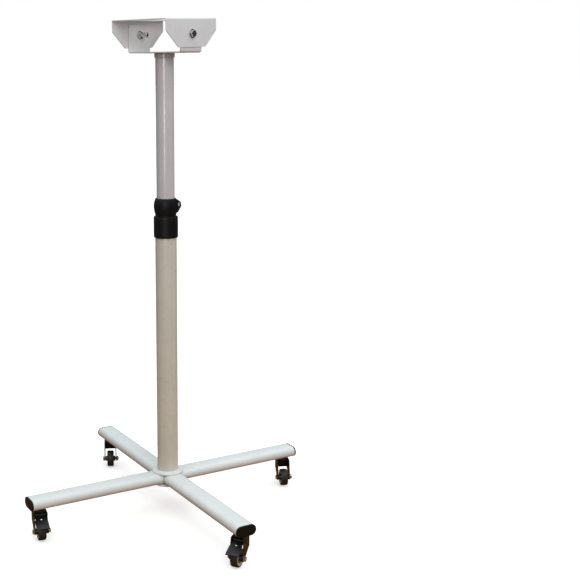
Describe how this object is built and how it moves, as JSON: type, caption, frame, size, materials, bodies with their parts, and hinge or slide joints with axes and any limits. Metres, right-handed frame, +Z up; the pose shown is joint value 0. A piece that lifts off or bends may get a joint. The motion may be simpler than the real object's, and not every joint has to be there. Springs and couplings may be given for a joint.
{
  "type": "salon hood dryer stand",
  "caption": "Rolling floor stand for a salon hood dryer: cross base on swivel casters, telescopic mast with clamp collar, and a slotted tilting top plate in a yoke.",
  "frame": {"origin": "on the floor under the mast axis, at the centre of the base", "axes": "+X along the tilt axis of the top plate, -Y towards the operator, +Z up the mast"},
  "size_m": [0.8356, 0.842, 1.3974],
  "materials": {
    "white_powder_coat": "satin",
    "black_moulded_plastic": "satin",
    "black_coated_steel": "semi-gloss",
    "tread_rubber": "matte",
    "cream_plastic": "satin",
    "zinc_plated_steel": "bright"
  },
  "bodies": {
    "base": {"hub_disc": "white_powder_coat", "hub_under_plate": "white_powder_coat", "leg_front": "white_powder_coat", "leg_right": "white_powder_coat", "leg_back": "white_powder_coat", "leg_left": "white_powder_coat", "leg_cap_front": "black_moulded_plastic", "leg_cap_right": "black_moulded_plastic", "leg_cap_back": "black_moulded_plastic", "leg_cap_left": "black_moulded_plastic", "mast_lower_tube": "white_powder_coat", "collar_socket": "black_moulded_plastic", "clamp_ring": "black_moulded_plastic", "clamp_nut": "zinc_plated_steel", "caster_front_stem": "black_coated_steel", "caster_right_stem": "black_coated_steel", "caster_back_stem": "black_coated_steel", "caster_left_stem": "black_coated_steel"},
    "clamp_screw": {"clamp_screw": "zinc_plated_steel"},
    "upper_mast": {"mast_upper_tube": "white_powder_coat"},
    "head": {"head_sleeve": "white_powder_coat", "yoke": "white_powder_coat", "tilt_bolt_right": "zinc_plated_steel", "tilt_bolt_left": "zinc_plated_steel", "tilt_washer_right": "zinc_plated_steel", "tilt_washer_left": "zinc_plated_steel", "tilt_nut_right": "zinc_plated_steel", "tilt_nut_left": "zinc_plated_steel", "tilt_locknut_right": "zinc_plated_steel", "tilt_locknut_left": "zinc_plated_steel"},
    "plate": {"tilt_plate": "white_powder_coat"},
    "swivel_front": {"caster_front_fork": "black_coated_steel", "caster_front_axle": "zinc_plated_steel", "caster_front_axle_nut": "zinc_plated_steel"},
    "wheel_front": {"caster_front_tyre": "tread_rubber", "caster_front_wheel_core": "cream_plastic"},
    "pedal_front": {"caster_front_pedal": "black_coated_steel", "caster_front_pedal_rivet": "zinc_plated_steel"},
    "swivel_right": {"caster_right_fork": "black_coated_steel", "caster_right_axle": "zinc_plated_steel", "caster_right_axle_nut": "zinc_plated_steel"},
    "wheel_right": {"caster_right_tyre": "tread_rubber", "caster_right_wheel_core": "cream_plastic"},
    "swivel_back": {"caster_back_fork": "black_coated_steel", "caster_back_axle": "zinc_plated_steel", "caster_back_axle_nut": "zinc_plated_steel"},
    "wheel_back": {"caster_back_tyre": "tread_rubber", "caster_back_wheel_core": "cream_plastic"},
    "swivel_left": {"caster_left_fork": "black_coated_steel", "caster_left_axle": "zinc_plated_steel", "caster_left_axle_nut": "zinc_plated_steel"},
    "wheel_left": {"caster_left_tyre": "tread_rubber", "caster_left_wheel_core": "cream_plastic"},
    "pedal_left": {"caster_left_pedal": "black_coated_steel", "caster_left_pedal_rivet": "zinc_plated_steel"}
  },
  "joints": [
    {"name": "mast_height", "type": "slide", "parent": "base", "child": "upper_mast", "axis": [0, 0, 1], "range_m": [-0.3, 0.12]},
    {"name": "head_turn", "type": "hinge", "parent": "upper_mast", "child": "head", "pos_m": [0, 0, 1.3], "axis": [0, 0, 1], "continuous": true},
    {"name": "plate_tilt", "type": "hinge", "parent": "head", "child": "plate", "pos_m": [0, 0, 1.3555], "axis": [1, 0, 0], "range_deg": [-12, 9.5]},
    {"name": "clamp_screw_turn", "type": "hinge", "parent": "base", "child": "clamp_screw", "pos_m": [0.02574, 0.02574, 0.899], "axis": [0.7071, -0.7071, 0], "range_deg": [0, 270]},
    {"name": "swivel_front", "type": "hinge", "parent": "base", "child": "swivel_front", "pos_m": [0.37964, -0.1322, 0.08], "axis": [0, 0, 1], "continuous": true},
    {"name": "wheel_spin_front", "type": "hinge", "parent": "swivel_front", "child": "wheel_front", "pos_m": [0.38607, -0.15324, 0.025], "axis": [0.9563, 0.2924, 0], "continuous": true},
    {"name": "brake_pedal_front", "type": "hinge", "parent": "swivel_front", "child": "pedal_front", "pos_m": [0.38198, -0.13986, 0.067], "axis": [0.9563, 0.2924, 0], "range_deg": [0, 5]},
    {"name": "swivel_right", "type": "hinge", "parent": "base", "child": "swivel_right", "pos_m": [0.1322, 0.37964, 0.08], "axis": [0, 0, 1], "continuous": true},
    {"name": "wheel_spin_right", "type": "hinge", "parent": "swivel_right", "child": "wheel_right", "pos_m": [0.14855, 0.36492, 0.025], "axis": [0.6691, 0.7431, 0], "continuous": true},
    {"name": "swivel_back", "type": "hinge", "parent": "base", "child": "swivel_back", "pos_m": [-0.37964, 0.1322, 0.08], "axis": [0, 0, 1], "continuous": true},
    {"name": "wheel_spin_back", "type": "hinge", "parent": "swivel_back", "child": "wheel_back", "pos_m": [-0.36381, 0.11692, 0.025], "axis": [0.6947, 0.7193, 0], "continuous": true},
    {"name": "swivel_left", "type": "hinge", "parent": "base", "child": "swivel_left", "pos_m": [-0.1322, -0.37964, 0.08], "axis": [0, 0, 1], "continuous": true},
    {"name": "wheel_spin_left", "type": "hinge", "parent": "swivel_left", "child": "wheel_left", "pos_m": [-0.11315, -0.39064, 0.025], "axis": [0.5, 0.866, 0], "continuous": true},
    {"name": "brake_pedal_left", "type": "hinge", "parent": "swivel_left", "child": "pedal_left", "pos_m": [-0.12528, -0.38364, 0.067], "axis": [0.5, 0.866, 0], "range_deg": [0, 5]}
  ]
}
